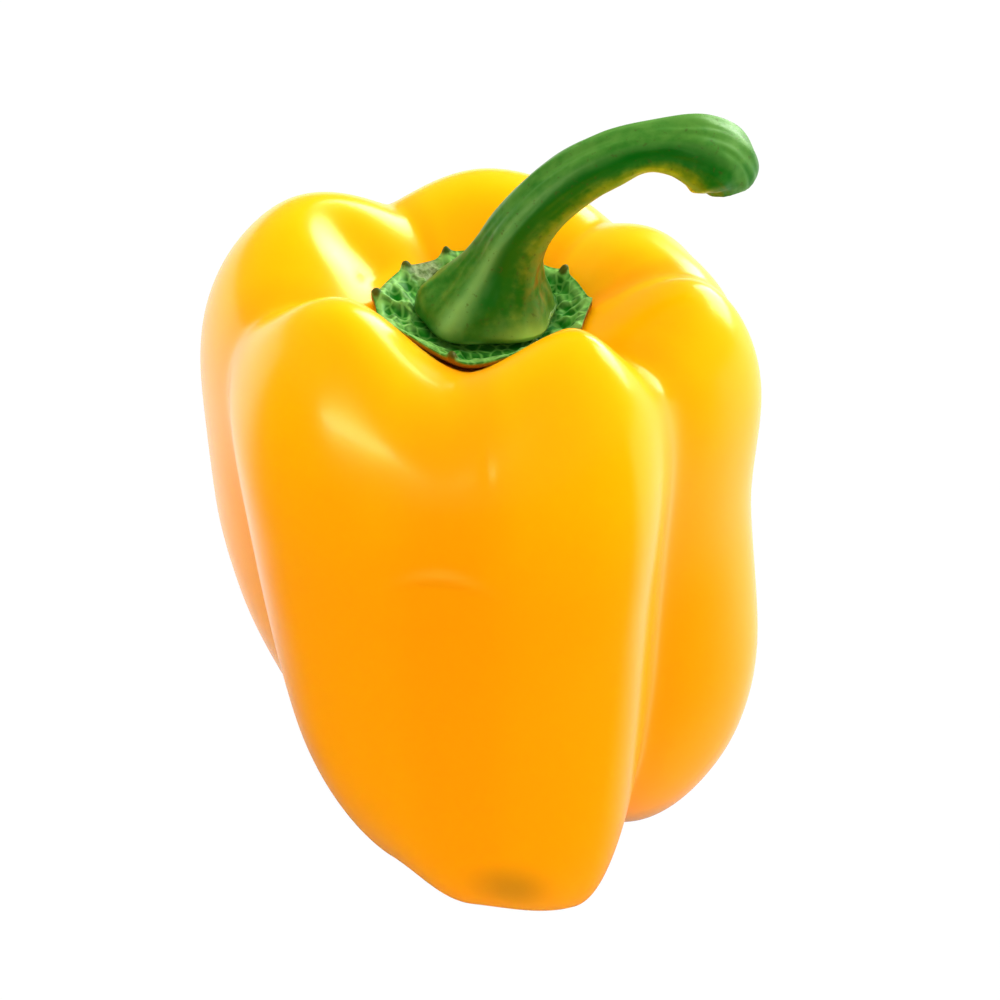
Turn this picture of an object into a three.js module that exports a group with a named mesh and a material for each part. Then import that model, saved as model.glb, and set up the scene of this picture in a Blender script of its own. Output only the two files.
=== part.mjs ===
// A yellow bell pepper as picked, standing upright on its lobes: the lobed fruit, the wrinkled green
// calyx in the basin at its top, and the bent stem that rises from the calyx.
// Millimetres, +Z up. The origin is under the middle of the pepper, on the surface that it stands on.
// Angles are in degrees, anticlockwise seen from above, from +X. The broad front lobe faces -Y.

import * as THREE from "three";

// The fruit. Its outline along any meridian is a B-spline that runs from the middle of the basin over
// the shoulder, down the side past four rings, round the foot and in to the blossom end.
const BASIN_HEIGHT = 94; // floor of the basin that the calyx sits in
const BASIN_RADIUS = 14;
const BASIN_FLAT_SHARE = 0.55; // of that radius, over which the floor is level
const BASIN_LIP_RISE = 0.5;
const SHOULDER_INSIDE = 3; // how far the shoulder reaches inwards and outwards of its crest
const SHOULDER_OUTSIDE = 8;
const RING_HEIGHTS = [88, 68, 46, 22];
const FOOT_OUTSIDE = 7;
const FOOT_INSIDE = 5;
const BLOSSOM_END_RADIUS = 8; // the hollow between the feet
const BLOSSOM_END_HEIGHT = 9;
const BLOSSOM_END_RISE = 2;
const LEAN = 4; // how far the underside lies to +X of the basin
const LEAN_HEIGHT = 105;
const TWIST_START = 0.3; // the furrows turn a little between these shares of a meridian
const TWIST_END = 0.8;
const CREASE_ROUNDING = 0.12;

// The lobes, anticlockwise. at: direction of the crest at the shoulder, and at the foot. shoulder: radius
// and height of the crest. sides: radius at each ring. foot: radius and height of the lowest point.
const LOBES = [
  { at: [-9, -12], shoulder: [30, 106], sides: [45, 40, 43.5, 41], foot: [19.5, 1] }, // right
  { at: [24, 20], shoulder: [25, 104.5], sides: [41, 40, 40, 37], foot: [19, -1] }, // back right
  { at: [84, 82], shoulder: [25, 105.5], sides: [42, 42, 40, 35], foot: [19, -2] }, // back
  { at: [149, 150], shoulder: [28.5, 107], sides: [49, 49, 49.5, 43], foot: [19, -1.5] }, // left
  { at: [224, 228], shoulder: [25, 111.5], sides: [42, 40.5, 39.5, 36.5], foot: [16.5, -1] }, // front left
  { at: [303, 293], shoulder: [26, 109.5], sides: [42.5, 42, 39.5, 38.3], foot: [24, -1.5] }, // front right
];

// The furrow after each lobe, given in the same way. crease: how sharp it is at the shoulder and at the
// foot, from 0 for a soft dip to 1 for a fold. Two lobes that share a wall have only a dip between them.
const FURROWS = [
  { at: [4, 4], shoulder: [28, 103.5], sides: [42, 39.5, 40, 37], foot: [18.5, 2], crease: [0.2, 0.1] },
  { at: [46, 37], shoulder: [23, 101.5], sides: [37, 35, 33, 29], foot: [14, 8], crease: [0.9, 0.5] },
  { at: [117, 120], shoulder: [24, 101], sides: [39, 37, 34, 29], foot: [14, 8], crease: [1, 0.5] },
  { at: [186, 186], shoulder: [26, 100.5], sides: [40, 37.5, 35, 30], foot: [14, 8], crease: [0.75, 0.6] },
  { at: [264, 260], shoulder: [24, 101.5], sides: [41, 41, 40, 36], foot: [22, -1], crease: [0.3, 0.1] },
  { at: [324, 319], shoulder: [26, 99.5], sides: [37, 34, 33, 30], foot: [15, 6], crease: [0.4, 0.6] },
];

// A shallow hollow in the inner side of the left lobe, along the meridian in one direction.
const HOLLOW_AT = 149;
const HOLLOW_WIDTH = 4.6;
const HOLLOW_DEPTH = 2.2;
const HOLLOW_START = [15, 19]; // radii between which it deepens and fades
const HOLLOW_END = [23, 31];

// The calyx: the fused green sepals, a thin wrinkled dish with a blunt tooth at the end of each rib.
const GAP = 0.3; // between pieces that touch
const CALYX_CENTRE = 0.5; // to +X of the fruit's axis
const CALYX_FLAT_HEIGHT = 96.1; // the level disc in its middle, which carries the stem
const CALYX_FLAT_RADIUS = 9.5;
const CALYX_FLAT_OFFSET = 1.4; // the disc reaches further to +X, under the stem's bell
const EDGE_THICKNESS = 0.9;
const EDGE_LIFT = 0.4; // the edge stands off the skin below it
const EDGE_HOLLOW = 0.45; // how far the edge draws in between two teeth
const TOOTH_RISE = 0.3;
const TOOTH_WIDTH = 0.9;
const RIB_HEIGHT = 0.8;
const RIB_WIDTH = 0.8;
const RIM_HEIGHT = 0.6;
const RIM_WIDTH = 0.8;
const ARCH_HEIGHT = 0.55; // a low ridge that bows outwards from rib to rib
const ARCH_WIDTH = 0.75;
const ARCH_RADIUS = 11.4;
const ARCH_BOW = 1.8;
// The teeth. at: direction. reach: of the edge there, from the calyx's middle. length: beyond that.
const TEETH = [
  { at: 2, reach: 16.9, length: 0.1 },
  { at: 34, reach: 15.7, length: 0.5 },
  { at: 73, reach: 15.4, length: 0.4 },
  { at: 110, reach: 15.6, length: 0.5 },
  { at: 138, reach: 15.5, length: 0.5 },
  { at: 171, reach: 16.2, length: 0.5 },
  { at: 205, reach: 15.6, length: 0.1 },
  { at: 254, reach: 15, length: 0.3 },
  { at: 303, reach: 15.4, length: 0.3 },
  { at: 338, reach: 16.4, length: 0.1 },
];

// The stem: a thick bent stalk, belled out where it meets the calyx and swollen at the end where it
// was cut. Each point of its middle line has the radius there.
const STEM_LINE = [
  { point: [1.4, 0, 96.4], radius: 9.4 },
  { point: [1.5, 0, 97.3], radius: 10.6 },
  { point: [1.6, 0, 98.4], radius: 10.4 },
  { point: [2.5, 0, 100.8], radius: 8.9 },
  { point: [3.5, -0.1, 103.8], radius: 6.9 },
  { point: [4.6, -0.3, 107.2], radius: 5.5 },
  { point: [6.5, -0.5, 111.7], radius: 4.8 },
  { point: [9.9, -0.6, 116.7], radius: 4.35 },
  { point: [14.6, -0.6, 121.3], radius: 4.25 },
  { point: [19.8, -0.5, 124.5], radius: 4.15 },
  { point: [24.4, -0.3, 126.2], radius: 3.7 },
  { point: [28.6, 0, 126.4], radius: 4.15 },
  { point: [32.4, 0.2, 125.6], radius: 5.3 },
  { point: [35.2, 0.3, 124], radius: 5.8 },
  { point: [36.9, 0.4, 121.9], radius: 5 },
  { point: [37.4, 0.4, 119.9], radius: 3.9 },
];
const STEM_BASE_DEPTH = 0.84; // of its width: the bell is narrower from front to back
const STEM_BASE_SHARE = 0.25; // of the stem's points, over which it turns round
const STEM_LEVEL_SHARE = 0.45; // and over which its sections tip from level to square with its line
const STEM_RIDGES = 5;
const STEM_RIDGE_SHARE = 0.05; // of the radius
const STEM_RIDGE_TURN = 25; // degrees

const MIDDLE = new THREE.Vector3(0.39, 0.31, 0); // of the pepper's box, from the fruit's axis

const BEYOND_SHOULDER = 0.4; // share of a meridian that is past the shoulder's crest in any direction
const HALVINGS = 24;

const FRUIT_COLUMNS = 84;
const FRUIT_ROWS = 42;
const CALYX_COLUMNS = 10; // from one tooth to the next
const CALYX_CROWDING = 0.7; // how much closer together these are beside a tooth, from 0 to 1
const CALYX_UNDER_RINGS = [0.35, 0.65, 0.85, 1]; // as shares of the edge's radius
const CALYX_OVER_RINGS = [1, 0.96, 0.91, 0.86, 0.81, 0.76, 0.71, 0.65, 0.58, 0.5];
const STEM_COLUMNS = 20;
const STEM_ROWS = 40;

const clamp = (x, low, high) => Math.min(Math.max(x, low), high);
const mix = (a, b, share) => a + (b - a) * share;
const mixLists = (a, b, share) => a.map((value, i) => mix(value, b[i], share));
const turn = (degrees) => ((degrees % 360) + 360) % 360;
const hump = (distance, width) => Math.exp(-((distance / width) ** 2));

// A closed skin over rings of points, with a single point at each end. The rings run anticlockwise seen
// from the last point.
function skin(first, rings, last) {
  const columns = rings[0].length;
  const positions = [first, ...rings.flat(), last].flatMap((p) => p.toArray());
  const at = (row, column) => 1 + row * columns + (column % columns);
  const end = 1 + rings.length * columns;
  const faces = [];
  for (let c = 0; c < columns; c++) {
    faces.push(0, at(0, c + 1), at(0, c));
    for (let r = 0; r + 1 < rings.length; r++) {
      faces.push(at(r, c), at(r, c + 1), at(r + 1, c + 1));
      faces.push(at(r, c), at(r + 1, c + 1), at(r + 1, c));
    }
    faces.push(end, at(rings.length - 1, c), at(rings.length - 1, c + 1));
  }
  const geometry = new THREE.BufferGeometry();
  geometry.setAttribute("position", new THREE.Float32BufferAttribute(positions, 3));
  geometry.setIndex(faces);
  geometry.computeVertexNormals();
  return geometry;
}

// A point on a clamped uniform cubic B-spline, by de Boor's steps, at a share of its length in spans.
function splinePoint(controls, share) {
  const spans = controls.length - 3;
  const knot = (i) => clamp(i - 3, 0, spans);
  const x = clamp(share, 0, 1) * spans;
  const span = Math.min(Math.floor(x), spans - 1);
  const points = controls.slice(span, span + 4);
  for (let level = 1; level <= 3; level++)
    for (let j = 3; j >= level; j--) {
      const low = knot(span + j);
      const high = knot(span + j + 4 - level);
      points[j] = mixLists(points[j - 1], points[j], (x - low) / (high - low));
    }
  return points[3];
}

// How much of the lobe there is, from 0 in the furrow to 1 on the crest, at a share of the way between.
function lobeShare(way, crease) {
  const s = Math.sin((Math.PI / 2) * way);
  const e = CREASE_ROUNDING;
  const fold = (Math.hypot(s, e) - e) / (Math.hypot(1, e) - e);
  return mix(s * s, fold, crease);
}

// The sizes of the meridian in one direction, between the lobe and the furrow on either side of it.
function meridianSizes(angle, twist) {
  const stations = LOBES.flatMap((lobe, i) => [lobe, FURROWS[i]]);
  for (let i = 0; i < stations.length; i++) {
    const near = stations[i];
    const next = stations[(i + 1) % stations.length];
    const start = mix(...near.at, twist);
    const span = turn(mix(...next.at, twist) - start);
    const gone = turn(angle - start);
    if (gone >= span) continue;
    const [lobe, furrow, way] = near.crease ? [next, near, gone / span] : [near, next, 1 - gone / span];
    const share = lobeShare(way, mix(...furrow.crease, twist));
    return {
      shoulder: mixLists(furrow.shoulder, lobe.shoulder, share),
      sides: mixLists(furrow.sides, lobe.sides, share),
      foot: mixLists(furrow.foot, lobe.foot, share),
    };
  }
}

// How far the hollow in the left lobe lowers the skin.
function hollowDepth(angle, radius) {
  const aside = THREE.MathUtils.degToRad(turn(angle - HOLLOW_AT + 180) - 180) * radius;
  const started = THREE.MathUtils.smoothstep(radius, ...HOLLOW_START);
  const ended = THREE.MathUtils.smoothstep(radius, ...HOLLOW_END);
  return HOLLOW_DEPTH * hump(aside, HOLLOW_WIDTH) * started * (1 - ended);
}

// Radius and height on the fruit in one direction, at a share of the way from the basin to the blossom end.
function fruitProfile(angle, way) {
  const twist = THREE.MathUtils.smoothstep(way, TWIST_START, TWIST_END);
  const { shoulder, sides, foot } = meridianSizes(angle, twist);
  const [radius, height] = splinePoint(
    [
      [0, BASIN_HEIGHT],
      [BASIN_RADIUS * BASIN_FLAT_SHARE, BASIN_HEIGHT],
      [BASIN_RADIUS, BASIN_HEIGHT + BASIN_LIP_RISE],
      [shoulder[0] - SHOULDER_INSIDE, shoulder[1]],
      [shoulder[0] + SHOULDER_OUTSIDE, shoulder[1]],
      ...sides.map((radius, i) => [radius, RING_HEIGHTS[i]]),
      [foot[0] + FOOT_OUTSIDE, foot[1]],
      [foot[0] - FOOT_INSIDE, foot[1]],
      [BLOSSOM_END_RADIUS, BLOSSOM_END_HEIGHT],
      [0, BLOSSOM_END_HEIGHT + BLOSSOM_END_RISE],
    ],
    way,
  );
  return [radius, height - (way < BEYOND_SHOULDER ? hollowDepth(angle, radius) : 0)];
}

// A point on the fruit. The feet are flat where they meet the surface that it stands on.
function fruitPoint(angle, way) {
  const [radius, height] = fruitProfile(angle, way);
  const a = THREE.MathUtils.degToRad(angle);
  const x = radius * Math.cos(a) + LEAN * (1 - height / LEAN_HEIGHT);
  return new THREE.Vector3(x, radius * Math.sin(a), Math.max(height, 0));
}

// Height of the basin's skin at a radius, by halving the way from the middle to beyond the shoulder.
function basinHeight(angle, radius) {
  let low = 0;
  let high = BEYOND_SHOULDER;
  for (let i = 0; i < HALVINGS; i++) {
    const middle = (low + high) / 2;
    if (fruitProfile(angle, middle)[0] < radius) low = middle;
    else high = middle;
  }
  return fruitProfile(angle, low)[1];
}

function fruit() {
  const rings = [];
  for (let row = 1; row < FRUIT_ROWS; row++) {
    const ring = [];
    for (let column = 0; column < FRUIT_COLUMNS; column++)
      ring.push(fruitPoint((360 * column) / FRUIT_COLUMNS, row / FRUIT_ROWS));
    rings.push(ring);
  }
  return skin(fruitPoint(0, 1), rings.reverse(), fruitPoint(0, 0));
}

// What the calyx has in one direction: the angle to the nearest tooth, the share of the way between the
// teeth on either side, and the reach of the edge.
function calyxDirection(angle) {
  for (let i = 0; i < TEETH.length; i++) {
    const near = TEETH[i];
    const next = TEETH[(i + 1) % TEETH.length];
    const span = turn(next.at - near.at);
    const gone = turn(angle - near.at);
    if (gone >= span) continue;
    const way = gone / span;
    const off = THREE.MathUtils.degToRad(Math.min(gone, span - gone));
    const drawnIn = EDGE_HOLLOW * 4 * way * (1 - way);
    const { length } = way < 0.5 ? near : next;
    const tooth = length * hump(off * near.reach, TOOTH_WIDTH);
    return { off, way, edge: mix(near.reach, next.reach, way) - drawnIn + tooth };
  }
}

// The underside of the calyx lies on the basin, and lifts off it towards the edge.
function calyxUnderside(angle, radius) {
  const outward = radius / calyxDirection(angle).edge;
  return basinHeight(angle, radius) + GAP + EDGE_LIFT * outward ** 6;
}

// The upper face of the calyx: level under the stem, then rising to the edge, with ribs, arches, a
// rolled rim and raised teeth.
function calyxTop(angle, radius) {
  const { off, way, edge } = calyxDirection(angle);
  const flat = CALYX_FLAT_RADIUS + CALYX_FLAT_OFFSET * Math.cos(THREE.MathUtils.degToRad(angle));
  const outward = clamp((radius - flat) / (edge - flat), 0, 1);
  const edgeHeight = calyxUnderside(angle, edge) + EDGE_THICKNESS;
  const dish = mix(CALYX_FLAT_HEIGHT, edgeHeight, outward ** 2);
  const rib = RIB_HEIGHT * hump(off * radius, RIB_WIDTH);
  const arch = ARCH_HEIGHT * hump(radius - ARCH_RADIUS - ARCH_BOW * Math.sin(Math.PI * way), ARCH_WIDTH);
  const rim = RIM_HEIGHT * hump(edge - radius - RIM_WIDTH, RIM_WIDTH);
  const tooth = TOOTH_RISE * hump(off * edge, TOOTH_WIDTH) * outward ** 4;
  return dish + (rib + arch + rim) * Math.min(1, outward * 3) * (1 - outward ** 8) + tooth;
}

// Directions of the calyx's columns, with one on each tooth.
function calyxAngles() {
  return TEETH.flatMap((tooth, i) => {
    const span = turn(TEETH[(i + 1) % TEETH.length].at - tooth.at);
    return Array.from({ length: CALYX_COLUMNS }, (_, column) => {
      const way = column / CALYX_COLUMNS;
      const crowding = (CALYX_CROWDING * Math.sin(2 * Math.PI * way)) / (2 * Math.PI);
      return tooth.at + span * (way - crowding);
    });
  });
}

function calyx() {
  const ring = (share, heightAt) =>
    calyxAngles().map((angle) => {
      const radius = share * calyxDirection(angle).edge;
      const a = THREE.MathUtils.degToRad(angle);
      return new THREE.Vector3(radius * Math.cos(a), radius * Math.sin(a), heightAt(angle, radius));
    });
  const rings = [
    ...CALYX_UNDER_RINGS.map((share) => ring(share, calyxUnderside)),
    ...CALYX_OVER_RINGS.map((share) => ring(share, calyxTop)),
  ];
  const lowest = new THREE.Vector3(0, 0, BASIN_HEIGHT + GAP);
  return skin(lowest, rings, new THREE.Vector3(0, 0, CALYX_FLAT_HEIGHT));
}

// A section of the stem, raised a little along its ridges.
function stemRing(centre, along, radius, depth) {
  const side = new THREE.Vector3(0, 1, 0).addScaledVector(along, -along.y).normalize();
  const other = new THREE.Vector3().crossVectors(side, along);
  const ring = [];
  for (let column = 0; column < STEM_COLUMNS; column++) {
    const a = (-2 * Math.PI * column) / STEM_COLUMNS;
    const ridge = Math.cos(STEM_RIDGES * a + THREE.MathUtils.degToRad(STEM_RIDGE_TURN));
    const r = radius * (1 + STEM_RIDGE_SHARE * ridge);
    const sideways = r * depth * Math.cos(a);
    ring.push(centre.clone().addScaledVector(side, sideways).addScaledVector(other, r * Math.sin(a)));
  }
  return ring;
}

function stem() {
  const line = new THREE.CatmullRomCurve3(STEM_LINE.map(({ point }) => new THREE.Vector3(...point)));
  const radii = new THREE.CatmullRomCurve3(STEM_LINE.map(({ radius }, i) => new THREE.Vector3(i, radius, 0)));
  const rings = [];
  for (let row = 0; row <= STEM_ROWS; row++) {
    const share = row / STEM_ROWS;
    const tipped = clamp(share / STEM_LEVEL_SHARE, 0, 1);
    const along = new THREE.Vector3(0, 0, 1).lerp(line.getTangent(share), tipped).normalize();
    const depth = mix(STEM_BASE_DEPTH, 1, clamp(share / STEM_BASE_SHARE, 0, 1));
    rings.push(stemRing(line.getPoint(share), along, radii.getPoint(share).y, depth));
  }
  return skin(line.getPoint(0), rings, line.getPoint(1));
}

const pepper = new THREE.Group();
const pieces = [
  ["fruit", fruit(), 0xf9a40a, 0.25, 0],
  ["calyx", calyx(), 0x4f7f35, 0.55, CALYX_CENTRE],
  ["stem", stem(), 0x2f6a1f, 0.45, 0],
];
for (const [name, geometry, color, roughness, offset] of pieces) {
  const mesh = new THREE.Mesh(geometry, new THREE.MeshStandardMaterial({ color, roughness, metalness: 0 }));
  mesh.name = name;
  mesh.position.set(offset, 0, 0).sub(MIDDLE);
  pepper.add(mesh);
}

export default pepper;
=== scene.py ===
import math

import bpy
import numpy as np
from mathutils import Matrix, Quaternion, Vector, noise


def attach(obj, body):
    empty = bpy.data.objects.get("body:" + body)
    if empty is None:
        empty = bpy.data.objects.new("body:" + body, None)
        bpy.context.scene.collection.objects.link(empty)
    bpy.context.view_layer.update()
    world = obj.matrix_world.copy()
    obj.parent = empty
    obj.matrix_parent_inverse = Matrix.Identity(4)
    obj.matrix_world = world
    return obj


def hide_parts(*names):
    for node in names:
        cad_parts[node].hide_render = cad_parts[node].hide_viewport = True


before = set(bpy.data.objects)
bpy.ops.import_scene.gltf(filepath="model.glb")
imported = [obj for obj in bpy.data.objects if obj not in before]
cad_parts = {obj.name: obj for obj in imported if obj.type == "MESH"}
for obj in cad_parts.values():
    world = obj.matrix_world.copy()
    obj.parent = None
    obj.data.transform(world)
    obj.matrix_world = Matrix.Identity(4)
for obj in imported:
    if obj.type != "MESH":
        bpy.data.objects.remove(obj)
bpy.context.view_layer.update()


# The fruit is one fleshy body that swelled in six lobes round a hollow middle, under a thin waxy skin.
# It hung from the calyx and grew downwards, and it stands on the ends of its lobes. Its outline along
# any meridian is a spline from the basin over the shoulder and down the side to the blossom end.
MM = 0.001
BASIN_HEIGHT = 94
BASIN_RADIUS = 14
BASIN_FLAT_SHARE = 0.55
BASIN_LIP_RISE = 0.5
SHOULDER_INSIDE = 3
SHOULDER_OUTSIDE = 8
RING_HEIGHTS = (88, 68, 46, 22)
FOOT_OUTSIDE = 7
FOOT_INSIDE = 5
BLOSSOM_END_RADIUS = 8
BLOSSOM_END_HEIGHT = 9
BLOSSOM_END_RISE = 2
LEAN = 4
LEAN_HEIGHT = 105
TWIST_START = 0.3
TWIST_END = 0.8
CREASE_ROUNDING = 0.12
BEYOND_SHOULDER = 0.4  # share of a meridian that is past the shoulder's crest in any direction
MIDDLE = np.array([0.39, 0.31, 0])
FRUIT_COLUMNS = 420
FRUIT_ROWS = 230

# Each lobe and the furrow after it: the direction at the shoulder and the foot, the radius and height of
# the shoulder's crest, the radius at the four rings, the radius and height of the foot, and how sharp
# the furrow's crease is at the shoulder and the foot.
LOBES = [
    ((-9, -12), (30, 106), (45, 40, 43.5, 41), (19.5, 1)),
    ((24, 20), (25, 104.5), (41, 40, 40, 37), (19, -1)),
    ((84, 82), (25, 105.5), (42, 42, 40, 35), (19, -2)),
    ((149, 150), (28.5, 107), (49, 49, 49.5, 43), (19, -1.5)),
    ((224, 228), (25, 111.5), (42, 40.5, 39.5, 36.5), (16.5, -1)),
    ((303, 293), (26, 109.5), (42.5, 42, 39.5, 38.3), (24, -1.5)),
]
FURROWS = [
    ((4, 4), (28, 103.5), (42, 39.5, 40, 37), (18.5, 2), (0.2, 0.1)),
    ((46, 37), (23, 101.5), (37, 35, 33, 29), (14, 8), (0.9, 0.5)),
    ((117, 120), (24, 101), (39, 37, 34, 29), (14, 8), (1, 0.5)),
    ((186, 186), (26, 100.5), (40, 37.5, 35, 30), (14, 8), (0.75, 0.6)),
    ((264, 260), (24, 101.5), (41, 41, 40, 36), (22, -1), (0.3, 0.1)),
    ((324, 319), (26, 99.5), (37, 34, 33, 30), (15, 6), (0.4, 0.6)),
]

# A shallow hollow in the inner side of the left lobe, along the meridian in one direction: its width and
# depth, and the radii between which it deepens and fades.
HOLLOW_AT = 149
HOLLOW_WIDTH = 4.6
HOLLOW_DEPTH = 2.2
HOLLOW_START = (15, 19)
HOLLOW_END = (23, 31)


def mixed(a, b, share):
    return a + (b - a) * share


def eased(x, low, high):
    t = np.clip((x - low) / (high - low), 0, 1)
    return t * t * (3 - 2 * t)


def hump(distance, width):
    return np.exp(-((distance / width) ** 2))


def spline_weights(ways, count):
    """Weights of count control points of a clamped cubic B-spline, at shares of its length."""
    spans = count - 3
    knots = np.clip(np.arange(count + 4) - 3, 0, spans)
    x = np.clip(ways, 0, 1)[:, None] * spans
    span = np.minimum(np.floor(x), spans - 1)
    weights = (knots[:-1] == span) & (knots[1:] == span + 1)
    for degree in (1, 2, 3):
        low, high = knots[:-degree - 1], knots[degree:-1]
        rising = np.where(high > low, (x - low) / np.maximum(high - low, 1), 0)
        low, high = knots[1:-degree], knots[degree + 1:]
        falling = np.where(high > low, (high - x) / np.maximum(high - low, 1), 0)
        weights = rising * weights[:, :-1] + falling * weights[:, 1:]
    return weights


def fruit_outline(angles, ways):
    """Radius and height of the fruit, and how deep in a furrow it is, at ways along the meridians."""
    twist = eased(ways, TWIST_START, TWIST_END)[:, None]
    lobe_sizes = np.array([[*shoulder, *sides, *foot] for _, shoulder, sides, foot in LOBES])
    furrow_sizes = np.array([[*shoulder, *sides, *foot] for _, shoulder, sides, foot, _ in FURROWS])
    sizes = np.zeros((len(ways), len(angles), 8))
    depth = np.zeros((len(ways), len(angles)))
    for i, (furrow_at, *_, crease) in enumerate(FURROWS):
        start = mixed(*furrow_at, twist)
        sharpness = mixed(*crease, twist)
        for lobe, side in ((i, -1), ((i + 1) % len(LOBES), 1)):
            span = (side * (mixed(*LOBES[lobe][0], twist) - start)) % 360
            gone = (side * (angles[None, :] - start)) % 360
            s = np.sin(math.pi / 2 * np.clip(gone / span, 0, 1))
            e = CREASE_ROUNDING
            fold = (np.hypot(s, e) - e) / (math.hypot(1, e) - e)
            share = mixed(s * s, fold, sharpness)
            here = gone <= span
            sizes[here] = mixed(furrow_sizes[i], lobe_sizes[lobe], share[..., None])[here]
            depth[here] = 1 - share[here]
    shoulder_radius, shoulder_height, *sides, foot_radius, foot_height = np.moveaxis(sizes, 2, 0)
    controls = [
        (0, BASIN_HEIGHT),
        (BASIN_RADIUS * BASIN_FLAT_SHARE, BASIN_HEIGHT),
        (BASIN_RADIUS, BASIN_HEIGHT + BASIN_LIP_RISE),
        (shoulder_radius - SHOULDER_INSIDE, shoulder_height),
        (shoulder_radius + SHOULDER_OUTSIDE, shoulder_height),
        *zip(sides, RING_HEIGHTS),
        (foot_radius + FOOT_OUTSIDE, foot_height),
        (foot_radius - FOOT_INSIDE, foot_height),
        (BLOSSOM_END_RADIUS, BLOSSOM_END_HEIGHT),
        (0, BLOSSOM_END_HEIGHT + BLOSSOM_END_RISE),
    ]
    weights = spline_weights(ways, len(controls)).T[..., None]
    radius = sum(w * r for w, (r, _) in zip(weights, controls))
    height = sum(w * h for w, (_, h) in zip(weights, controls))
    aside = np.radians((angles - HOLLOW_AT + 180) % 360 - 180) * radius
    hollow = HOLLOW_DEPTH * hump(aside, HOLLOW_WIDTH)
    hollow *= eased(radius, *HOLLOW_START) * (1 - eased(radius, *HOLLOW_END))
    return radius, height - hollow * (ways[:, None] < BEYOND_SHOULDER), depth


def rounded_skin(name, first, rings, last, marks):
    """A closed smooth mesh over rings of points, anticlockwise seen from the last point, with marks."""
    rows, columns = rings.shape[:2]
    points = np.concatenate([[first], rings.reshape(-1, 3), [last]]) - MIDDLE
    row, column = np.mgrid[0:rows - 1, 0:columns]
    here = 1 + row * columns + column
    beside = 1 + row * columns + (column + 1) % columns
    quads = np.stack([here, beside, beside + columns, here + columns], -1).reshape(-1, 4).tolist()
    ends = []
    top = 1 + (rows - 1) * columns
    for c in range(columns):
        after = (c + 1) % columns
        ends.append((0, 1 + after, 1 + c))
        ends.append((len(points) - 1, top + c, top + after))
    mesh = bpy.data.meshes.new(name)
    mesh.from_pydata((points * MM).tolist(), [], quads + ends)
    mesh.polygons.foreach_set("use_smooth", [True] * len(mesh.polygons))
    for mark, values in marks.items():
        layer = mesh.attributes.new(mark, "FLOAT", "POINT")
        flat = np.concatenate([[values[0].mean()], values.ravel(), [values[-1].mean()]])
        layer.data.foreach_set("value", flat.astype(np.float32))
    piece = bpy.data.objects.new(name, mesh)
    bpy.context.scene.collection.objects.link(piece)
    return piece


UNEVEN_SIZE = 13  # the skin's gentle unevenness
UNEVEN_DEPTH = 0.16
UNEVEN_FROM = (8, 20)  # the radii between which it sets in
ARC_CREASE = (-5, 76.8, 4.8, 0.12)  # a faint bowed line on the front: middle, height, half length, depth
ARC_WIDTH = 0.9
ARC_BOW = 1.1
SADDLE_CREASE = (1.5, 96, 5, 0.1)  # a faint upright one below the dip in the front shoulder, given alike
SADDLE_WIDTH = 0.8
SADDLE_SLANT = 0.1
SCAR_RADIUS = 2.4  # the blossom scar, between the feet
SCAR_DEPTH = 0.9
SCAR_WIDTH = 1.2
SCAR_STAIN = 3.4
SCAR_BELOW = 40  # above this height a point near the middle is in the basin, not at the blossom end
SCAR_BUTTON = 0.3


def fruit_points():
    angles = np.arange(FRUIT_COLUMNS) * 360 / FRUIT_COLUMNS
    ways = np.arange(1, FRUIT_ROWS) / FRUIT_ROWS
    radius, height, depth = fruit_outline(angles, ways)
    turn = np.radians(angles)[None, :]
    x = radius * np.cos(turn) + LEAN * (1 - height / LEAN_HEIGHT)
    y = radius * np.sin(turn)
    swell = np.zeros_like(x)
    for index in np.ndindex(x.shape):
        place = Vector((x[index], y[index], height[index])) / UNEVEN_SIZE
        swell[index] = noise.noise(place) * UNEVEN_DEPTH
    front = (y < -20) & (height > 30)
    middle, level, half, deep = ARC_CREASE
    above = height - level + ARC_BOW * ((x - middle) / half) ** 2
    along_arc = front * hump(x - middle, half)
    swell -= deep * along_arc * hump(above, ARC_WIDTH)
    # Marks for a painted highlight along the lip above the crease and painted shade just below it.
    arc_painted_light = along_arc * hump(above - ARC_WIDTH, ARC_WIDTH)
    arc_painted_shade = along_arc * hump(above + 0.7, 0.6)
    middle, level, half, deep = SADDLE_CREASE
    aside = x - middle - SADDLE_SLANT * (level - height)
    swell -= deep * front * hump(aside, SADDLE_WIDTH) * hump(height - level, half)
    over = eased(radius, *UNEVEN_FROM)
    scar = (1 - over) * (height < SCAR_BELOW)
    height = height + SCAR_DEPTH * scar * hump(radius - SCAR_RADIUS, SCAR_WIDTH)
    x = x + swell * over * np.cos(turn)
    y = y + swell * over * np.sin(turn)
    height = np.where(ways[:, None] < 0.5, height + swell * over, height)
    rings = np.stack([x, y, np.maximum(height, 0)], -1)[::-1]
    scarred = hump(radius, SCAR_STAIN) * (height < SCAR_BELOW)
    marks = {"furrow": depth, "scar": scarred, "arc_painted_light": arc_painted_light, "arc_painted_shade": arc_painted_shade}
    return rings, {name: mark[::-1] for name, mark in marks.items()}


rings, marks = fruit_points()
blossom_height = BLOSSOM_END_HEIGHT + BLOSSOM_END_RISE
blossom_aside = LEAN * (1 - blossom_height / LEAN_HEIGHT)
blossom_end = np.array([blossom_aside, 0, blossom_height + SCAR_BUTTON])
basin_floor = np.array([LEAN * (1 - BASIN_HEIGHT / LEAN_HEIGHT), 0, BASIN_HEIGHT])
fruit = rounded_skin("pepper_fruit", blossom_end, rings, basin_floor, marks)


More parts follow.
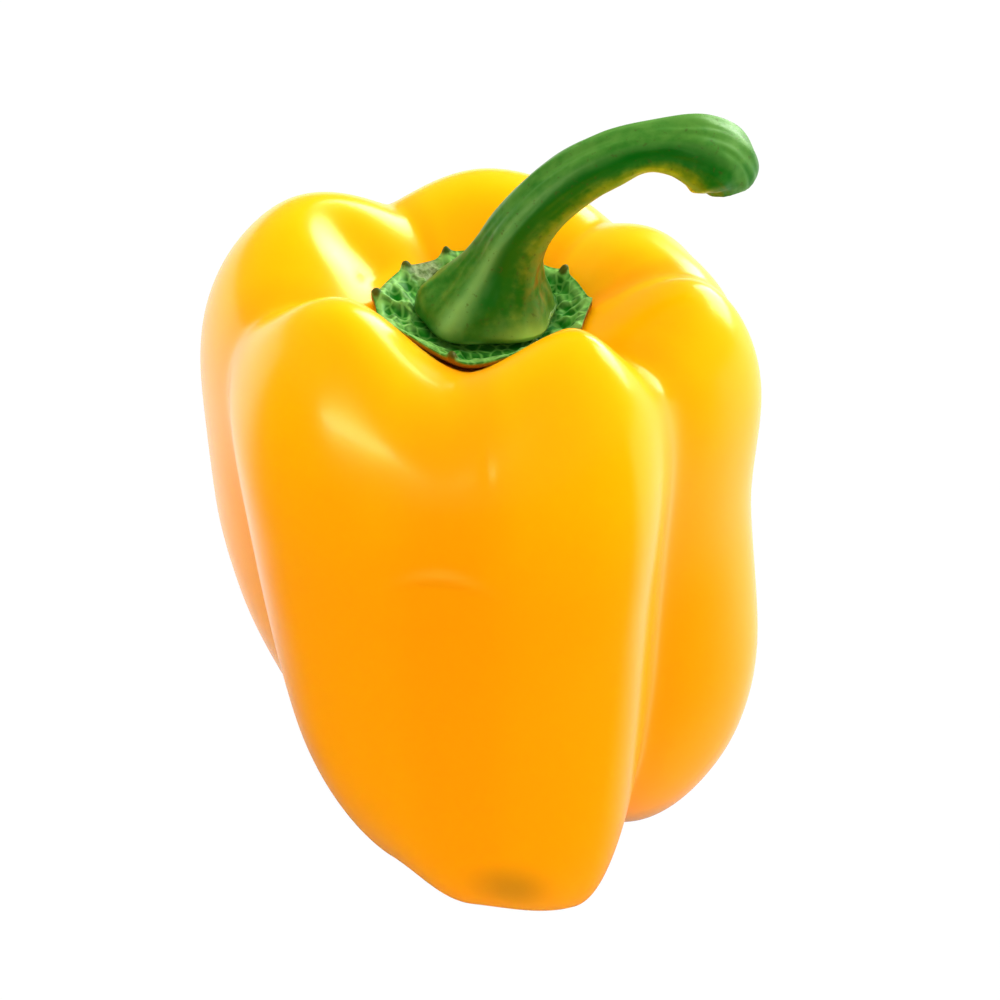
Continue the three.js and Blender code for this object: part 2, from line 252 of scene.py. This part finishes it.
class Shade:
    """An output of a node in a material. Arithmetic on it adds Math nodes."""

    def __init__(self, tree, socket=None):
        self.tree = tree
        self.socket = socket

    def add(self, kind, settings=None, values=None, output=0):
        node = self.tree.nodes.new(kind)
        for key, value in (settings or {}).items():
            setattr(node, key, value)
        for key, value in (values or {}).items():
            if isinstance(value, Shade):
                self.tree.links.new(value.socket, node.inputs[key])
            else:
                node.inputs[key].default_value = value
        return Shade(self.tree, node.outputs[output])

    def maths(self, operation, *values):
        return self.add("ShaderNodeMath", {"operation": operation}, dict(enumerate(values)))

    def __add__(self, other):
        return self.maths("ADD", self, other)

    __radd__ = __add__

    def __sub__(self, other):
        return self.maths("SUBTRACT", self, other)

    def __rsub__(self, other):
        return self.maths("SUBTRACT", other, self)

    def __mul__(self, other):
        return self.maths("MULTIPLY", self, other)

    __rmul__ = __mul__

    def between(self, low, high):
        """0 at low and 1 at high, eased."""
        return self.add(
            "ShaderNodeMapRange",
            {"interpolation_type": "SMOOTHSTEP"},
            {"Value": self, "From Min": low, "From Max": high},
        )

    def colours(self, first, second):
        """first where this is 0, second where it is 1."""
        values = {0: self, 6: first, 7: second}
        return self.add("ShaderNodeMix", {"data_type": "RGBA"}, values, 2)


def colour(red, green, blue):
    """An opaque colour from the levels 0 to 255 that a screen shows."""
    levels = [c / 255 for c in (red, green, blue)]
    return (*[c / 12.92 if c <= 0.04045 else ((c + 0.055) / 1.055) ** 2.4 for c in levels], 1)


def finish_of(piece, name, plain):
    """A new material on the piece. plain: its shader's values that are the same all over."""
    material = bpy.data.materials.new(name)
    material.use_nodes = True
    shader = material.node_tree.nodes["Principled BSDF"]
    for key, value in plain.items():
        shader.inputs[key].default_value = value
    piece.data.materials.append(material)
    return Shade(material.node_tree), shader


def feed(shader, key, shade):
    shade.tree.links.new(shade.socket, shader.inputs[key])


def marks_in(paint, names):
    """The marks that the piece's mesh carries, as its material reads them."""
    return {
        name: paint.add("ShaderNodeAttribute", {"attribute_name": name}, output="Fac") for name in names
    }


def clouds(place, scale, detail):
    """A cloudy pattern through the piece, in patches about 1 / scale metres across."""
    return place.add("ShaderNodeTexNoise", values={"Vector": place, "Scale": scale, "Detail": detail})


def distance_to(place, point):
    values = {0: place, 1: point}
    return place.add("ShaderNodeVectorMath", {"operation": "DISTANCE"}, values, "Value")


SKIN_ORANGE = colour(255, 156, 0)
SKIN_YELLOW = colour(255, 178, 0)
FURROW_SHADE_ORANGE = colour(255, 148, 0)
ARC_PAINTED_LIGHT = colour(255, 186, 60)
ARC_PAINTED_SHADE = colour(238, 130, 0)
FOOT_PATCH_BROWN = colour(150, 105, 20)
SCAR_BROWN = colour(120, 84, 40)
YELLOWING = (62, 112)  # the heights in mm over which the skin goes from orange to yellow
YELLOWING_RAGGED = 26
FOOT_PATCH_AT = (0.0052, -0.0335, 0.0105)
FOOT_PATCH_RADII = (0.001, 0.0095)
FOOT_PATCH_RAGGED = 0.006

paint, shader = finish_of(
    fruit,
    "ripe_waxy_skin",
    {
        "IOR": 1.6,
        "Specular Tint": (1, 0.88, 0.25, 1),
        "Coat Weight": 0.1,
        "Coat Roughness": 0.1,
        "Coat IOR": 1.4,
        "Subsurface Weight": 0.1,
        "Subsurface Radius": (1, 0.45, 0.08),
        "Subsurface Scale": 0.004,
    },
)
place = paint.add("ShaderNodeTexCoord", output="Object")
level = paint.add("ShaderNodeSeparateXYZ", values={0: place}, output=2) * 1000
cloud = clouds(place, 38, 3)
fleck = clouds(place, 900, 2)
mark = marks_in(paint, marks)
# Partly the skin's own ripening tone, partly painted light: the skin is painted yellower higher up,
# where more light falls from above.
yellowing_and_top_light = (level + (cloud - 0.5) * YELLOWING_RAGGED).between(*YELLOWING)
skin = yellowing_and_top_light.colours(SKIN_ORANGE, SKIN_YELLOW)
# Painted shade: the skin deep in the furrows is painted a darker orange.
skin = (mark["furrow"].between(0.55, 1) * 0.5).colours(skin, FURROW_SHADE_ORANGE)
# Painted light and shade at the bowed crease: paler above it, darker below it.
skin = (mark["arc_painted_light"] * 0.3).colours(skin, ARC_PAINTED_LIGHT)
skin = (mark["arc_painted_shade"] * 0.45).colours(skin, ARC_PAINTED_SHADE)
# A brownish dark patch on the skin, low on the front lobe near its foot.
foot_patch_gap = distance_to(place, FOOT_PATCH_AT) + (cloud - 0.5) * FOOT_PATCH_RAGGED
foot_patch = (1 - foot_patch_gap.between(*FOOT_PATCH_RADII)) * 0.5
skin = foot_patch.colours(skin, FOOT_PATCH_BROWN)
skin = (mark["scar"].between(0.5, 0.9) * 0.85).colours(skin, SCAR_BROWN)
feed(shader, "Base Color", skin)
feed(shader, "Roughness", 0.25 + (cloud - 0.5) * 0.03 + mark["scar"] * 0.3)
dimples = paint.add("ShaderNodeBump", values={"Strength": 0.05, "Distance": 0.0002, "Height": fleck})
feed(shader, "Normal", dimples)
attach(fruit, "root")
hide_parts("fruit")


# The calyx is the ring of fused sepals that held the flower: a tough green dish grown on to the top of
# the fruit, wrinkled into ribs, arches and pits, with a short dark tooth where each sepal ended.
GAP = 0.3
CALYX_CENTRE = 0.5
CALYX_FLAT_HEIGHT = 96.1
CALYX_FLAT_RADIUS = 9.5
CALYX_FLAT_OFFSET = 1.4
EDGE_THICKNESS = 0.9
EDGE_LIFT = 0.4
EDGE_HOLLOW = 0.45
TOOTH_RISE = 0.3
TOOTH_WIDTH = 0.9
RIB_HEIGHT = 0.8
RIB_WIDTH = 0.8
RIM_HEIGHT = 0.6
RIM_WIDTH = 0.8
ARCH_HEIGHT = 0.55
ARCH_WIDTH = 0.75
ARCH_RADIUS = 11.4
ARCH_BOW = 1.8
TEETH_AT = np.array([2, 34, 73, 110, 138, 171, 205, 254, 303, 338])
TEETH_REACH = np.array([16.9, 15.7, 15.4, 15.6, 15.5, 16.2, 15.6, 15, 15.4, 16.4])
TEETH_LENGTH = np.array([0.1, 0.5, 0.4, 0.5, 0.5, 0.5, 0.1, 0.3, 0.3, 0.1])
CALYX_COLUMNS = 44
CALYX_CROWDING = 0.7
KNOB_RADIUS = 0.75  # of the dark bead that ends a tooth
KNOB_HEIGHT = 0.45
KNOB_INSET = 0.3
KNOB_FROM_LENGTH = 0.2  # only teeth longer than this end in one
WRINKLE_SIZE = 1.7
WRINKLE_DEPTH = 0.22
RIDGE_HEIGHT = 0.45
RIDGE_WIDTH = 0.5
PIT_DEPTH = 0.7
LEAST_THICKNESS = 0.15

# Ridges that stand out of the dish, painted paler as a painted highlight, each a line of points from the
# calyx's middle, and the pits between them, painted dark as painted shade, each a middle and a radius.
RIDGES = [
    [(-14.4, 4.6), (-13.5, 6.2), (-12.1, 4.9), (-10.9, 3.9), (-10.4, 1.6), (-10.7, -0.8), (-10.6, -2.4)],
    [(-14.6, 5.4), (-14.7, 2.4), (-13.4, 1.7), (-12, 1.5)],
    [(-13.2, -1.8), (-10.6, -2.2)],
    [(-11.4, 9.5), (-9.8, 6.6)],
    [(10.9, 2.7), (14.5, 2.1)],
    [(11.6, -1.2), (14.8, -2)],
    [(-7.6, -8.2), (-4.4, -9.9), (-1.2, -10), (1.4, -9.9), (4.2, -9.6)],
]
PITS = [
    ((-12.8, 3.5), 1),
    ((-13.9, 0.1), 0.8),
    ((-12.2, -0.2), 0.9),
    ((-10.9, 6.6), 1),
    ((12, 6.6), 1.5),
    ((12.6, 0.5), 1),
    ((12.6, -3.8), 1.2),
    ((-2.4, -11.6), 1.5),
    ((0.8, -11.7), 1.4),
    ((-8.6, -6.2), 1.2),
]


def calyx_direction(angles):
    """Angle to the nearest tooth, share of the way between teeth, and reach of the edge."""
    order = (angles[:, None] - TEETH_AT) % 360
    near = order.argmin(1)
    after = (near + 1) % len(TEETH_AT)
    gone = order.min(1)
    span = (TEETH_AT[after] - TEETH_AT[near]) % 360
    way = gone / span
    off = np.radians(np.minimum(gone, span - gone))
    reach = TEETH_REACH[near]
    drawn_in = EDGE_HOLLOW * 4 * way * (1 - way)
    length = TEETH_LENGTH[np.where(way < 0.5, near, after)]
    edge = mixed(reach, TEETH_REACH[after], way) - drawn_in + length * hump(off * reach, TOOTH_WIDTH)
    return off, way, edge


def line_distance(x, y, line):
    """Distance in plan from places to a line of points."""
    nearest = np.full(x.shape, np.inf)
    for (ax, ay), (bx, by) in zip(line, line[1:]):
        along = ((x - ax) * (bx - ax) + (y - ay) * (by - ay)) / ((bx - ax) ** 2 + (by - ay) ** 2)
        t = np.clip(along, 0, 1)
        nearest = np.minimum(nearest, np.hypot(x - ax - t * (bx - ax), y - ay - t * (by - ay)))
    return nearest


def calyx_points():
    columns = np.arange(CALYX_COLUMNS) / CALYX_COLUMNS
    crowded = columns - CALYX_CROWDING * np.sin(2 * math.pi * columns) / (2 * math.pi)
    spans = (np.roll(TEETH_AT, -1) - TEETH_AT) % 360
    angles = (TEETH_AT[:, None] + spans[:, None] * crowded).ravel()
    off, way, edge = calyx_direction(angles)
    radius_table, height_table, _ = fruit_outline(angles, np.linspace(0, 0.4, 400))
    under_shares = np.concatenate([np.linspace(0.3, 0.9, 6), np.linspace(0.93, 1, 5)])
    over_shares = np.concatenate([np.linspace(1, 0.92, 14), np.linspace(0.915, 0.42, 90)])
    shares = np.concatenate([under_shares, over_shares])[:, None]
    radius = shares * edge
    basin = np.stack(
        [np.interp(radius[:, c], radius_table[:, c], height_table[:, c]) for c in range(len(angles))], 1
    )
    edge_basin = np.array(
        [np.interp(edge[c], radius_table[:, c], height_table[:, c]) for c in range(len(angles))]
    )
    under = basin + GAP + EDGE_LIFT * shares**6
    turn = np.radians(angles)
    x = radius * np.cos(turn)
    y = radius * np.sin(turn)
    flat = CALYX_FLAT_RADIUS + CALYX_FLAT_OFFSET * np.cos(turn)
    outward = np.clip((radius - flat) / (edge - flat), 0, 1)
    dish = mixed(CALYX_FLAT_HEIGHT, edge_basin + GAP + EDGE_LIFT + EDGE_THICKNESS, outward**2)
    inner = np.minimum(1, outward * 3)
    rib = hump(off * radius, RIB_WIDTH)
    arch = hump(radius - ARCH_RADIUS - ARCH_BOW * np.sin(math.pi * way), ARCH_WIDTH)
    rim = hump(edge - radius - RIM_WIDTH, RIM_WIDTH)
    relief = RIB_HEIGHT * rib + ARCH_HEIGHT * arch + RIM_HEIGHT * rim
    # Painted light: the raised ribs, arches, rim and ridges are marked to be painted paler.
    painted_light = np.clip(0.75 * rib + 0.7 * arch + 0.9 * rim, 0, 1)
    for line in RIDGES:
        ridge = hump(line_distance(x, y, line), RIDGE_WIDTH)
        relief += RIDGE_HEIGHT * ridge
        painted_light = np.maximum(painted_light, ridge)
    pit = np.zeros_like(x)
    for (px, py), size in PITS:
        pit = np.maximum(pit, hump(np.hypot(x - px, y - py), size))
    relief -= PIT_DEPTH * pit
    wrinkle = np.zeros_like(x)
    for index in np.ndindex(x.shape):
        point = Vector((x[index], y[index], 0)) / WRINKLE_SIZE
        wrinkle[index] = noise.noise(point) + 0.5 * noise.noise(point * 2.3)
    relief += WRINKLE_DEPTH * wrinkle
    knobs = (TEETH_REACH - KNOB_INSET) * np.exp(1j * np.radians(TEETH_AT))
    gap = np.min([np.abs(x + 1j * y - knob) for knob in knobs[TEETH_LENGTH > KNOB_FROM_LENGTH]], 0)
    knob = np.sqrt(np.clip(1 - (gap / KNOB_RADIUS) ** 2, 0, 1))
    tooth = TOOTH_RISE * hump(off * edge, TOOTH_WIDTH) * outward**4
    top = dish + relief * inner * (1 - outward**8) + tooth + KNOB_HEIGHT * knob
    upper = np.arange(len(shares))[:, None] >= len(under_shares)
    height = np.where(upper, np.maximum(top, basin + GAP + LEAST_THICKNESS), under)
    rings = np.stack([x + CALYX_CENTRE, y, height], -1)
    marks = {
        "painted_light": painted_light * inner * (1 - pit),
        "pit": pit * upper,
        "tip": eased(knob, 0.05, 0.6),
        "wrinkle": wrinkle,
        "below": np.where(upper, 0, np.ones_like(x)),
    }
    return rings, marks


rings, marks = calyx_points()
lowest = np.array([CALYX_CENTRE, 0, BASIN_HEIGHT + GAP])
middle = np.array([CALYX_CENTRE, 0, CALYX_FLAT_HEIGHT])
calyx = rounded_skin("pepper_calyx", lowest, rings, middle, marks)

SHADOW_GREEN = colour(8, 104, 12)
CELL_SHADE_GREEN = colour(4, 66, 8)
LEAF_GREEN = colour(64, 146, 40)
PALE_GREEN = colour(126, 180, 86)
DRY_TAN = (colour(78, 82, 46), colour(122, 128, 90))
TIP_GREEN = colour(20, 54, 8)
TIP_BROWN = colour(72, 70, 16)
EDGE_SHADE_BROWN = colour(136, 98, 14)
DRY_PATCH_AT = (-0.0085, 0.0105, 0.098)
DRY_PATCH_RADII = (0.0018, 0.0042)
DRY_PATCH_RAGGED = 0.002
paint, shader = finish_of(calyx, "wrinkled_calyx", {"IOR": 1.4, "Specular Tint": (0.7, 1, 0.5, 1)})
place = paint.add("ShaderNodeTexCoord", output="Object")
mark = marks_in(paint, marks)
mottle = clouds(place, 420, 4)
speckle = clouds(place, 1500, 2)
green = (mottle + mark["wrinkle"] * 0.35).between(0.3, 0.75).colours(SHADOW_GREEN, LEAF_GREEN)
# Painted highlight on the raised relief, and painted shade in the pits.
raised = (mark["painted_light"] + (mottle - 0.5) * 0.5).between(0.15, 1.05)
green = raised.colours(green, PALE_GREEN)
green = (mark["pit"] * 0.9).colours(green, SHADOW_GREEN)
cells = paint.add(
    "ShaderNodeTexVoronoi", {"feature": "DISTANCE_TO_EDGE"}, {"Vector": place, "Scale": 520}, "Distance"
)
# Painted light and shade on a net of fine wrinkles: the raised veins paler, the hollow cells between
# them darker.
veins = 1 - cells.between(0.02, 0.16)
green = (veins * 0.4).colours(green, PALE_GREEN)
green = ((1 - veins) * mottle.between(0.35, 0.65) * 0.65).colours(green, CELL_SHADE_GREEN)
dry_gap = distance_to(place, DRY_PATCH_AT) + (mottle - 0.5) * DRY_PATCH_RAGGED
dry = (1 - dry_gap.between(*DRY_PATCH_RADII)) * 0.8
green = dry.colours(green, speckle.between(0.4, 0.62).colours(*DRY_TAN))
tip = mottle.between(0.35, 0.7).colours(TIP_GREEN, TIP_BROWN)
green = (mark["tip"] * 0.92).colours(green, tip)
# Partly the dry edge's own brown, partly painted shadow under the rim: the underside and outer edge are
# painted brown.
green = mark["below"].between(0.1, 0.6).colours(green, EDGE_SHADE_BROWN)
feed(shader, "Base Color", green)
feed(shader, "Roughness", 0.42 + speckle * 0.2)
relief = mottle + veins * 0.3
pores = paint.add("ShaderNodeBump", values={"Strength": 0.35, "Distance": 0.0003, "Height": relief})
feed(shader, "Normal", pores)
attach(calyx, "root")
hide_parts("calyx")


# The stem is the stalk that the fruit hung by: woody inside, ribbed outside, belled out where it joins
# the calyx, bent over, and swollen at the joint where it was cut from the plant.
STEM_LINE = np.array([
    (1.4, 0, 96.4, 9.4),
    (1.5, 0, 97.3, 10.6),
    (1.6, 0, 98.4, 10.4),
    (2.5, 0, 100.8, 8.9),
    (3.5, -0.1, 103.8, 6.9),
    (4.6, -0.3, 107.2, 5.5),
    (6.5, -0.5, 111.7, 4.8),
    (9.9, -0.6, 116.7, 4.35),
    (14.6, -0.6, 121.3, 4.25),
    (19.8, -0.5, 124.5, 4.15),
    (24.4, -0.3, 126.2, 3.7),
    (28.6, 0, 126.4, 4.15),
    (32.4, 0.2, 125.6, 5.3),
    (35.2, 0.3, 124, 5.8),
    (36.9, 0.4, 121.9, 5),
    (37.4, 0.4, 119.9, 3.9),
])
STEM_BASE_DEPTH = 0.84
STEM_BASE_SHARE = 0.25
STEM_LEVEL_SHARE = 0.45
STEM_RIDGES = 5
STEM_RIDGE_SHARE = 0.05
STEM_RIDGE_TURN = 25
STEM_SMOOTH_KNOB = 0.9  # the share of the ridges that is gone at the swollen end
STEM_LUMPS = 0.12
STEM_FINE_LUMPS = 0.05
STEM_LUMP_SHARE = 0.55
STEM_COLUMNS = 120
STEM_ROWS = 400
CUT_ROWS = 16
CUT_DEPTH = 0.5  # the woody middle has dried back from the rim


def curve_through(points, shares):
    """A centripetal Catmull-Rom curve through the points, at shares of their count."""
    padded = np.vstack([2 * points[0] - points[1], points, 2 * points[-1] - points[-2]])
    x = shares * (len(points) - 1)
    i = np.minimum(np.floor(x).astype(int), len(points) - 2)
    t = (x - i)[:, None]
    a, b, c, d = (padded[i + k] for k in range(4))
    step = [np.linalg.norm(q - p, axis=1, keepdims=True) ** 0.5 for p, q in ((a, b), (b, c), (c, d))]
    enter = ((b - a) / step[0] - (c - a) / (step[0] + step[1]) + (c - b) / step[1]) * step[1]
    leave = ((c - b) / step[1] - (d - b) / (step[1] + step[2]) + (d - c) / step[2]) * step[1]
    cubic = 2 * b - 2 * c + enter + leave
    square = -3 * b + 3 * c - 2 * enter - leave
    return b + enter * t + square * t**2 + cubic * t**3


def stem_points():
    shares = np.arange(STEM_ROWS + 1) / STEM_ROWS
    centres = curve_through(STEM_LINE[:, :3], shares)
    numbered = np.column_stack([np.arange(len(STEM_LINE)), STEM_LINE[:, 3]])
    radii = curve_through(numbered, shares)[:, 1]
    along = np.gradient(centres, axis=0)
    along /= np.linalg.norm(along, axis=1, keepdims=True)
    tipped = np.clip(shares / STEM_LEVEL_SHARE, 0, 1)[:, None]
    along = mixed(np.array([0, 0, 1]), along, tipped)
    along /= np.linalg.norm(along, axis=1, keepdims=True)
    across = np.array([0, 1, 0]) - along * along[:, 1:2]
    across /= np.linalg.norm(across, axis=1, keepdims=True)
    other = np.cross(across, along)
    turn = -2 * math.pi * np.arange(STEM_COLUMNS) / STEM_COLUMNS
    depth = mixed(STEM_BASE_DEPTH, 1, np.clip(shares / STEM_BASE_SHARE, 0, 1))[:, None]
    ridge = np.cos(STEM_RIDGES * turn + math.radians(STEM_RIDGE_TURN))
    rows = shares[:, None]
    swollen = eased(rows, 0.72, 0.86)
    r = radii[:, None] * (1 + STEM_RIDGE_SHARE * ridge * (1 - STEM_SMOOTH_KNOB * swollen))
    bumps = np.zeros_like(r)
    for index in np.ndindex(r.shape):
        a = turn[index[1]]
        point = Vector((math.cos(a) * 2.2, math.sin(a) * 2.2, shares[index[0]] * 9))
        fine = Vector((math.cos(a) * 6, math.sin(a) * 6, shares[index[0]] * 16))
        bumps[index] = STEM_LUMPS * noise.noise(point) + STEM_FINE_LUMPS * noise.noise(fine)
    r = r * (1 + bumps * eased(rows, 0.04, 0.2) * STEM_LUMP_SHARE)
    side = r * depth * np.cos(turn)
    up = r * np.sin(turn)
    rings = centres[:, None] + across[:, None] * side[..., None] + other[:, None] * up[..., None]
    outward = (rings - centres[:, None]) / r[..., None]
    cut_shares = np.linspace(0.94, 0.06, CUT_ROWS)[:, None, None]
    dip = CUT_DEPTH * eased(1 - cut_shares, 0.04, 0.35)
    cut = centres[-1] + (rings[-1] - centres[-1]) * cut_shares - along[-1] * dip
    on_bark = np.zeros_like(r)
    on_cut = np.zeros((CUT_ROWS, STEM_COLUMNS))
    around = np.degrees(np.arctan2(np.sin(turn), -np.cos(turn)))  # from the front towards the underside
    # Marks for painted light: a pale streak along the upper side near the base, and a small light spot.
    painted_light = hump(around + 36, 11) * eased(rows, 0.04, 0.12) * (1 - eased(rows, 0.3, 0.62))
    dark = hump(around + 6 + 14 * rows, 20) * eased(rows, 0.1, 0.3) * (1 - eased(rows, 0.72, 0.95))
    rusty = hump(around - 74, 34) * eased(rows, 0.16, 0.3) * (1 - eased(rows, 0.55, 0.7))
    # Mark for a painted light patch on the side of the bell.
    painted_light_patch = hump(around - 38, 26) * hump(rows - 0.13, 0.06)
    painted_light_spot = hump(around + 12, 9) * hump(rows - 0.085, 0.02)
    marks = {
        "cut": np.vstack([on_bark, on_cut + 1]),
        "upward": np.vstack([outward[..., 2], on_cut - 1]),
        "ridge": np.vstack([on_bark + ridge, on_cut]),
        "painted_light": np.vstack([np.maximum(painted_light, painted_light_spot), on_cut]),
        "dark": np.vstack([dark, on_cut]),
        "rusty": np.vstack([rusty, on_cut]),
        "painted_light_patch": np.vstack([painted_light_patch, on_cut]),
    }
    return np.concatenate([rings, cut]), marks, cut[-1].mean(0)


rings, marks, cut_middle = stem_points()
stem = rounded_skin("pepper_stem", STEM_LINE[0, :3], rings, cut_middle, marks)

DEEP_GREEN = colour(2, 88, 8)
MID_GREEN = colour(72, 120, 42)
SHADED_GREEN = colour(2, 84, 8)
OLIVE = colour(172, 170, 14)
RIDGE_GREEN = colour(92, 140, 62)
LIGHT_PATCH_GREEN = colour(178, 206, 88)
LIT_STREAK_GREEN = colour(116, 164, 84)
RUST_BROWN = colour(112, 76, 16)
SPECK_BROWN = colour(60, 62, 20)
CUT_WOOD = (colour(176, 160, 110), colour(214, 202, 160))
paint, shader = finish_of(stem, "ribbed_green_stem", {"IOR": 1.4, "Specular Tint": (0.7, 1, 0.4, 1)})
place = paint.add("ShaderNodeTexCoord", output="Object")
mark = marks_in(paint, marks)
mottle = clouds(place, 190, 4)
fleck = clouds(place, 620, 3)
speckle = clouds(place, 1300, 2)
# Partly the stem's own mottling, partly painted light: upward-facing skin is painted a lighter green.
mottle_and_top_light = mark["upward"] * 0.6 + mottle * 1.3 + fleck * 1.1
green = mottle_and_top_light.between(0.85, 2).colours(DEEP_GREEN, MID_GREEN)
# Partly the stem's own olive, partly painted reflected light from the yellow fruit on the underside.
underside = ((mottle + fleck - 1) * 0.5 - mark["upward"]).between(0, 1)
green = underside.colours(green, OLIVE)
green = (mark["ridge"].between(0.4, 1) * 0.3).colours(green, RIDGE_GREEN)
# Painted light: a pale yellow-green patch on the bell.
green = (mark["painted_light_patch"] * 0.85).colours(green, LIGHT_PATCH_GREEN)
# Painted highlight: the pale streak and spot.
green = (mark["painted_light"] * (0.35 + mottle)).colours(green, LIT_STREAK_GREEN)
green = (mark["dark"] * (0.5 + mottle)).colours(green, SHADED_GREEN)
green = (mark["rusty"] * fleck.between(0.35, 0.65)).colours(green, RUST_BROWN)
green = (speckle.between(0.62, 0.74) * 0.5).colours(green, SPECK_BROWN)
green = mark["cut"].colours(green, mottle.between(0.3, 0.7).colours(*CUT_WOOD))
feed(shader, "Base Color", green)
feed(shader, "Roughness", 0.34 + speckle * 0.16 + mark["cut"] * 0.3)
grain = paint.add("ShaderNodeBump", values={"Strength": 0.25, "Distance": 0.0002, "Height": mottle})
feed(shader, "Normal", grain)
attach(stem, "root")
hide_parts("stem")


# The studio: a white floor and surround, which the skin reflects as dark in front and bright behind, a
# window behind on the right, a strip of light low in front on the left, and soft matt lights all round.
# The camera looks 36 degrees down along +Y.
FLOOR_HALF = 4
FLOOR_TINT = 0.015
FLOOR_GLOW = 1  # as the camera sees it
FLOOR_GLOW_IN_FRONT = 0.02  # as the pepper sees it
FLOOR_GLOW_BEHIND = 1.1
FLOOR_BRIGHTENS = (-0.04, 0.05)  # from here to here along Y, and sooner to the right
FLOOR_SLANT = 0.35
bpy.ops.mesh.primitive_plane_add(size=2 * FLOOR_HALF)
floor = bpy.context.object
floor.name = "floor"
floor_colour = (FLOOR_TINT, FLOOR_TINT, FLOOR_TINT, 1)
paint, shader = finish_of(floor, "pale_floor", {"Base Color": floor_colour, "Roughness": 1})
floor.data.materials[0].cycles.emission_sampling = "NONE"
shader.inputs["Specular IOR Level"].default_value = 0
shader.inputs["Emission Color"].default_value = (1, 1, 1, 1)
place = paint.add("ShaderNodeTexCoord", output="Object")
to_right = paint.add("ShaderNodeSeparateXYZ", values={0: place}, output=0)
to_back = paint.add("ShaderNodeSeparateXYZ", values={0: place}, output=1)
behind = (to_back + to_right * FLOOR_SLANT).between(*FLOOR_BRIGHTENS)
seen_direct = paint.add("ShaderNodeLightPath", output="Is Camera Ray")
reflected = mixed(FLOOR_GLOW_IN_FRONT, FLOOR_GLOW_BEHIND, behind)
feed(shader, "Emission Strength", mixed(reflected, FLOOR_GLOW, seen_direct))

SKY_GLOW = 0.2  # as the pepper sees it
world = bpy.data.worlds.new("surround")
world.use_nodes = True
backdrop = world.node_tree.nodes["Background"]
backdrop.inputs["Color"].default_value = (1, 1, 1, 1)
sky = Shade(world.node_tree)
seen_direct = sky.add("ShaderNodeLightPath", output="Is Camera Ray")
feed(backdrop, "Strength", mixed(SKY_GLOW, 1, seen_direct))
world.cycles.sampling_method = "NONE"
bpy.context.scene.world = world
bpy.context.scene.view_settings.view_transform = "Standard"

PEPPER_MIDDLE = Vector((0, 0, 0.062))
LIGHT_DISTANCE = 0.9
BOUNCE_SIZE = (2.4, 1.2)
BOUNCE_BRIGHTNESS = 1.3
BOUNCE_AT = (0.62, 0.001)  # how far along Y its middle is, and how high


def soft_light(name, azimuth, elevation, size, brightness, in_gloss, in_matt, roll=0):
    """An oblong light that faces the pepper. Azimuth runs anticlockwise from +X. Angles in degrees."""
    lamp = bpy.data.lights.new(name, "AREA")
    lamp.shape = "RECTANGLE"
    lamp.size, lamp.size_y = size
    lamp.energy = brightness * math.pi * size[0] * size[1]
    holder = bpy.data.objects.new(name, lamp)
    a, e = math.radians(azimuth), math.radians(elevation)
    away = Vector((math.cos(e) * math.cos(a), math.cos(e) * math.sin(a), math.sin(e)))
    holder.location = PEPPER_MIDDLE + away * LIGHT_DISTANCE
    facing = away.to_track_quat("Z", "Y") @ Quaternion((0, 0, 1), math.radians(roll))
    holder.rotation_euler = facing.to_euler()
    lamp.cycles.use_multiple_importance_sampling = in_gloss  # keeps a matt light out of the gloss
    holder.visible_camera = False
    holder.visible_glossy = in_gloss
    holder.visible_diffuse = in_matt
    bpy.context.scene.collection.objects.link(holder)
    return holder


soft_light("window_light", 60, 32, (1.1, 0.55), 4.9, in_gloss=False, in_matt=True)
soft_light("window_glint", 43, 24, (0.8, 0.58), 10.5, in_gloss=True, in_matt=False)
soft_light("strip_front_left", -128, 11, (0.66, 0.08), 14, in_gloss=True, in_matt=False, roll=23)
soft_light("overhead", 75, 75, (1.2, 1.2), 3, in_gloss=False, in_matt=True)
soft_light("fill_left", 170, 8, (1, 0.6), 2, in_gloss=False, in_matt=True)
soft_light("fill_right", -4, 8, (1, 0.6), 4.2, in_gloss=False, in_matt=True)
soft_light("fill_front", -104, 24, (1.6, 0.7), 0.95, in_gloss=False, in_matt=True)
for side in (-1, 1):
    bounce = soft_light("bounce", 0, 0, BOUNCE_SIZE, BOUNCE_BRIGHTNESS, in_gloss=False, in_matt=True)
    bounce.location = (0, side * BOUNCE_AT[0], BOUNCE_AT[1])
    bounce.rotation_euler = (math.pi, 0, 0)  # lies just over the floor and shines up

VIEW_TILT = math.radians(36)
VIEW_DISTANCE = 0.65
VIEW_TARGET = Vector((0.00315, -0.0003, 0.062))
camera = bpy.data.objects.new("camera", bpy.data.cameras.new("camera"))
camera.data.sensor_width = 36
camera.data.lens = 149.76
away = Vector((0, -math.cos(VIEW_TILT), math.sin(VIEW_TILT)))
camera.location = VIEW_TARGET + away * VIEW_DISTANCE
camera.rotation_euler = away.to_track_quat("Z", "Y").to_euler()
bpy.context.scene.collection.objects.link(camera)
bpy.context.scene.camera = camera
